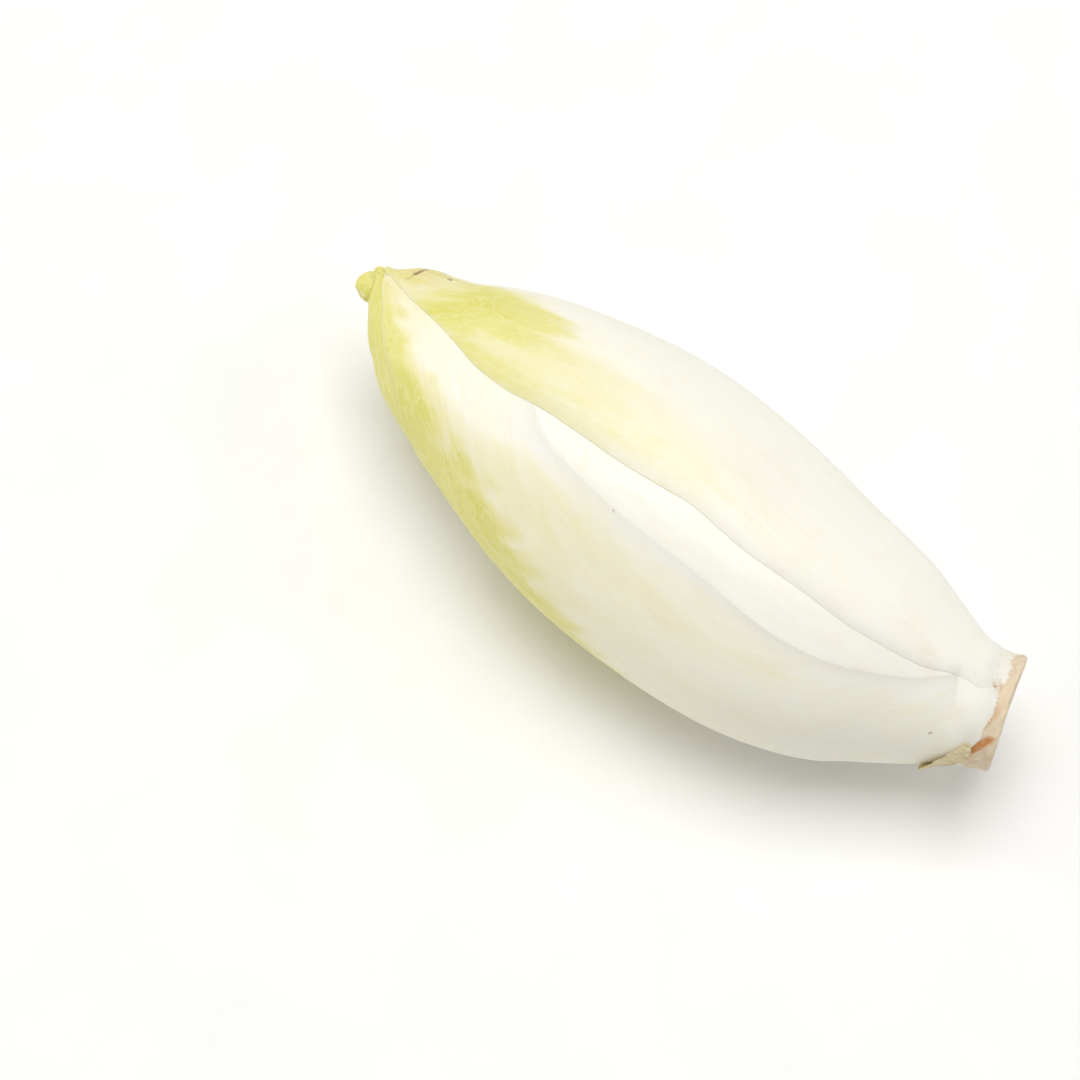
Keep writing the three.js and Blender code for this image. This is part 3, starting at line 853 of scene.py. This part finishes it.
def stemMaterial(name):
    material, nodes, links = newMaterial(name)
    shader = nodes["Principled BSDF"]
    place = addNode(material, "ShaderNodeTexCoord").outputs["Object"]
    dry = addNode(material, "ShaderNodeAttribute", attribute_name="dry").outputs["Fac"]
    burnt = addNode(material, "ShaderNodeAttribute", attribute_name="burnt").outputs["Fac"]
    fibres = noise(material, place, stemFinish["fibres"], 4.0, 0.6, 0.0, "3D")
    blots = noise(material, place, stemFinish["blots"], 4.0, 0.6, 0.0, "3D")
    dried = ramp(material, fibres, [
        (0.35, stemFinish["darkDry"]), (0.55, stemFinish["dry"]), (0.7, stemFinish["paleDry"]),
    ])
    yellowed = ranged(material, blots, 0.45, 0.75, 0.0, 0.25)
    base = blended(material, yellowed, stemFinish["flesh"], stemFinish["dry"])
    drying = sums(material, "MULTIPLY", dry, ranged(material, blots, 0.2, 0.5, 0.75, 1.0), True)
    base = blended(material, drying, base, dried)
    scorch = sums(material, "MULTIPLY", burnt, ranged(material, fibres, 0.3, 0.6, 0.5, 1.1), True)
    base = blended(material, scorch, base, stemFinish["burnt"])
    links.new(base, shader.inputs["Base Color"])
    height = sums(material, "ADD", fibres, sums(material, "MULTIPLY", blots, 0.6))
    addBump(material, height, stemFinish)
    shader.inputs["Roughness"].default_value = stemFinish["roughness"]
    return material


tornFinish = {
    "shades": [(0.3, colour(206, 182, 132)), (0.5, colour(228, 212, 170)), (0.7, colour(240, 230, 198))],
    "scar": colour(186, 104, 70), "streaks": (1.4, 0.5, 1), "roughness": 0.7,
    "bump": 0.7, "bumpHeight": 0.0004,
}


def tornMaterial(name):
    material, nodes, links = newMaterial(name)
    shader = nodes["Principled BSDF"]
    uv = addNode(material, "ShaderNodeUVMap").outputs["UV"]
    streaks = noise(material, uv, tornFinish["streaks"], 5.0, 0.6)
    base = ramp(material, streaks, tornFinish["shades"])
    scar = addNode(material, "ShaderNodeAttribute", attribute_name="scar").outputs["Fac"]
    base = blended(material, sums(material, "MULTIPLY", scar, 0.9, True), base, tornFinish["scar"])
    links.new(base, shader.inputs["Base Color"])
    addBump(material, streaks, tornFinish)
    shader.inputs["Roughness"].default_value = tornFinish["roughness"]
    return material


finishes = {
    "outer": leafMaterial("outerLeafFlesh", outerFinish),
    "inner": leafMaterial("innerLeafFlesh", innerFinish),
    "torn": tornMaterial("driedLeaf"),
}


def addPiece(mesh, settings, material):
    piece = bpy.data.objects.new(settings["name"], mesh)
    bpy.context.scene.collection.objects.link(piece)
    mesh.materials.append(material)
    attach(piece, "root")
    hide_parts(settings["node"])
    return piece


addPiece(makeTornLeaf(), tornLeafBase, finishes[tornLeafBase["finish"]])
for order, leaf in enumerate(leaves):
    addPiece(makeLeaf(order), leaf, finishes[leaf["finish"]])
print("made", len(leaves) + 1, "leaves")

# the rolled tip of the lower leaf
rolledTip = {
    "name": "rolledTip", "node": "lower_leaf", "slot": "outer_leaf", "finish": "outer",
    "divisions": 72, "crumple": 0.13,
    # rounded folds: station, shift from the axis, its roll, radius, length
    "folds": [(148.5, 1.9, -100, 2.9, 3.0), (148.2, 1.4, 48, 1.35, 2.4), (147.6, 1.6, -40, 1.6, 2.2)],
}


def makeRolledTip():
    bm = bmesh.new()
    bm.loops.layers.uv.new("leafMillimetres")
    for number in range(len(rolledTip["folds"])):
        made = bmesh.ops.create_uvsphere(
            bm, u_segments=rolledTip["divisions"], v_segments=rolledTip["divisions"] // 2, radius=1)
        bmesh.ops.translate(bm, verts=made["verts"], vec=(0, 0, 10 * number))
    mesh = finishedMesh(bm, rolledTip["name"])
    x, y, z = vertexPlaces(mesh)
    number = np.round(z / 10).astype(int)
    z = z - 10 * number
    station, aside, asideRoll, radius, length = np.array(rolledTip["folds"]).T[:, number]
    roll = np.degrees(np.arctan2(x, y))
    crumple = rolledTip["crumple"] * layeredNoise(roll / 26 + 3, z * 2.4 + 5 * number, 900, 3) * (1 - z * z)
    size = radius * (1 + crumple)
    sideways = x * size + aside * np.sin(np.radians(asideRoll))
    upwards = y * size + aside * np.cos(np.radians(asideRoll))
    s = station + z * length * (1 + 0.5 * crumple)
    world = placed(s, np.hypot(sideways, upwards), np.degrees(np.arctan2(sideways, upwards)))
    moveVertices(mesh, world)
    setLeafCoordinates(mesh, np.radians(roll) * 3, s)
    setAttribute(mesh, "green", np.clip(0.9 + 2 * crumple, 0, 1))
    setAttribute(mesh, "stainAndPaintedShade", 0 * s)
    setAttribute(mesh, "brown", 0 * s)
    return mesh


addPiece(makeRolledTip(), rolledTip, finishes[rolledTip["finish"]])
print("made the rolled tip")

# what the knife leaves on the cut, and where the stub has dried
cut = {
    "rounding": 0.6, "marks": 0.12, "waves": 0.3, "slant": 0.5, "rough": 0.16,
    "dryDepth": 2.6, "dryDepthInFront": 5.5, "frontRolls": (-170, -150, 1, 6),
    "vesselRing": 0.7, "vesselWidth": 0.55,     # a share of the radius, and millimetres
}


def stemProfile():
    # the half section: the cut face, its edge, the stub, and the cone inside the head
    flat = stem["radius"] - cut["rounding"]
    profile = [(radius, stem["cut"]) for radius in np.linspace(0, flat, 20)]
    for turn in (30, 60, 90):
        profile.append((flat + cut["rounding"] * math.sin(math.radians(turn)),
                        stem["cut"] + cut["rounding"] * (1 - math.cos(math.radians(turn)))))
    for station in [*np.arange(2.4, 14, 0.3), 17, 21, 26, 34, 43, 52, 60]:
        clearance = 1.1 * stem["gap"] * smoothStep(station, 8, 12)
        profile.append((float(middleRadius(station, 40) - clearance), station))
    return profile + [(0.0, stem["innerEnd"])]


def makeStem():
    bm = bmesh.new()
    verts = [bm.verts.new((radius, 0, station)) for radius, station in stemProfile()]
    edges = [bm.edges.new(pair) for pair in zip(verts, verts[1:])]
    bmesh.ops.spin(bm, geom=verts + edges, cent=(0, 0, 0), axis=(0, 0, 1), angle=math.tau,
                   steps=stem["steps"], use_merge=True)
    bmesh.ops.remove_doubles(bm, verts=bm.verts[:], dist=1e-4)
    bmesh.ops.recalc_face_normals(bm, faces=bm.faces[:])
    mesh = finishedMesh(bm, stem["name"])
    x, y, s = vertexPlaces(mesh)
    r, roll = np.hypot(x, y), np.degrees(np.arctan2(x, y))

    # the knife leaves a slightly wavy face with fine parallel marks, and the stub isn't quite round
    onFace = 1 - smoothStep(s, stem["cut"] + 0.05, stem["cut"] + 0.5)
    marks = cut["marks"] * layeredNoise(x / 1.1, y / 9, 700, 3) + cut["waves"] * noiseField(x / 9, y / 9, 703)
    rough = cut["rough"] * layeredNoise(roll / 9, s / 1.7, 705, 3) * (1 - smoothStep(s, 9, 12)) * (1 - onFace)
    slant = -cut["slant"] * r / stem["radius"] * np.cos(np.radians(roll - 30)) * (1 - smoothStep(s, 1.5, 3.5))
    world = placed(s + onFace * marks + slant, r + rough, roll)
    moveVertices(mesh, world)

    ragged = layeredNoise(roll / 12, s / 3, 710, 3)
    # ivory above, and dried down to the leaf bases in front
    edge = mix(cut["dryDepth"], cut["dryDepthInFront"], between(roll, *cut["frontRolls"]))
    stepped = s + 0.35 * layeredNoise(roll / 5, 0 * s, 714, 3) + 0.3 * ragged
    dry = np.maximum(onFace * (0.8 + 0.25 * ragged), 1 - smoothStep(stepped, edge, edge + 0.35))
    # scorched where the torn leaf came off, and in patches along the leaf bases
    stripe = 2.5 + 0.125 * np.clip(-48 - roll, -10, 50)
    burnt = 1.3 * np.exp(-((s - stripe) / 0.8) ** 4) * between(roll, -84, -74, -52, -44) * (1 + 0.5 * ragged)
    burnt = burnt + np.exp(-((s - 4.0) / 0.7) ** 2) * between(roll, -4, 0, 2, 5)
    patchy = 0.5 * smoothStep(ragged, -0.2, 0.3)
    burnt = burnt + patchy * np.exp(-((s - 3.0) / 0.8) ** 2) * between(roll, -46, -30, -4, 0)
    # the ring of vessels on the cut face
    fromRing = (r - cut["vesselRing"] * stem["radius"]) / cut["vesselWidth"]
    bundles = np.exp(-fromRing ** 2) * (0.45 + 0.5 * layeredNoise(roll / 5, r / 3, 718, 3))
    burnt = mix(np.maximum(burnt, 0), np.maximum(bundles, 0), onFace)
    setAttribute(mesh, "dry", np.clip(dry, 0, 1))
    setAttribute(mesh, "burnt", np.clip(burnt, 0, 1))
    return mesh


addPiece(makeStem(), stem, stemMaterial("cutStemFlesh"))
print("made the stem")

studio = {
    "floorSize": 6.0, "floorColours": (colour(246, 246, 244), colour(249, 249, 248)),
    "floorGrain": (40, 40, 40), "floorRoughness": 0.9, "floorShine": 0.1,
    "skyStrength": 0.38, "skyColour": (1.0, 0.985, 0.955, 1),
    "fillPower": 5.0, "fillSize": 0.7, "fillPlace": (-1.2, -0.55, 0.3),
    "sidePower": 2.6, "sideSize": 0.8, "sidePlace": (0.95, 0.65, 1.05),
    "keyPower": 16.3, "keySize": 1.0, "keyPlace": (-0.15, 0.16, 1.57),
}
camera = {
    "azimuth": 35.7, "elevation": 68, "distance": 0.597, "lens": 100, "sensor": 36,
    "target": (-0.02247, -0.00906, 0.00233),
}


def addFloor():
    bm = bmesh.new()
    bmesh.ops.create_grid(bm, x_segments=1, y_segments=1, size=studio["floorSize"] / 2)
    mesh = bpy.data.meshes.new("floor")
    bm.to_mesh(mesh)
    bm.free()
    floor = bpy.data.objects.new("floor", mesh)
    bpy.context.scene.collection.objects.link(floor)
    material, nodes, links = newMaterial("palePaper")
    place = addNode(material, "ShaderNodeTexCoord").outputs["Object"]
    grain = noise(material, place, studio["floorGrain"])
    shade = blended(material, ranged(material, grain, 0.3, 0.7), *studio["floorColours"])
    shader = nodes["Principled BSDF"]
    links.new(shade, shader.inputs["Base Color"])
    shader.inputs["Roughness"].default_value = studio["floorRoughness"]
    shader.inputs["Specular IOR Level"].default_value = studio["floorShine"]
    mesh.materials.append(material)


def addSoftbox(name, place, size, power):
    light = bpy.data.lights.new(name, "AREA")
    light.shape, light.size, light.energy = "SQUARE", size, power
    lamp = bpy.data.objects.new(name, light)
    bpy.context.scene.collection.objects.link(lamp)
    lamp.location = place
    lamp.rotation_euler = (-Vector(place)).to_track_quat("-Z", "Y").to_euler()


def addWorld():
    world = bpy.data.worlds.new("studioWorld")
    bpy.context.scene.world = world
    world.use_nodes = True
    sky = world.node_tree.nodes["Background"]
    sky.inputs["Color"].default_value = studio["skyColour"]
    sky.inputs["Strength"].default_value = studio["skyStrength"]


def addCamera():
    lens = bpy.data.cameras.new("camera")
    lens.lens, lens.sensor_width, lens.clip_start = camera["lens"], camera["sensor"], 0.01
    viewer = bpy.data.objects.new("camera", lens)
    bpy.context.scene.collection.objects.link(viewer)
    azimuth, elevation = math.radians(camera["azimuth"]), math.radians(camera["elevation"])
    towards = Vector((math.sin(azimuth) * math.cos(elevation), -math.cos(azimuth) * math.cos(elevation),
                      math.sin(elevation)))
    viewer.location = Vector(camera["target"]) + camera["distance"] * towards
    viewer.rotation_euler = (-towards).to_track_quat("-Z", "Y").to_euler()
    bpy.context.scene.camera = viewer


addFloor()
addWorld()
addSoftbox("keySoftbox", studio["keyPlace"], studio["keySize"], studio["keyPower"])
addSoftbox("fillSoftbox", studio["fillPlace"], studio["fillSize"], studio["fillPower"])
addSoftbox("sideSoftbox", studio["sidePlace"], studio["sideSize"], studio["sidePower"])
addCamera()
bpy.context.scene.view_settings.view_transform = "Standard"
print("studio set up")
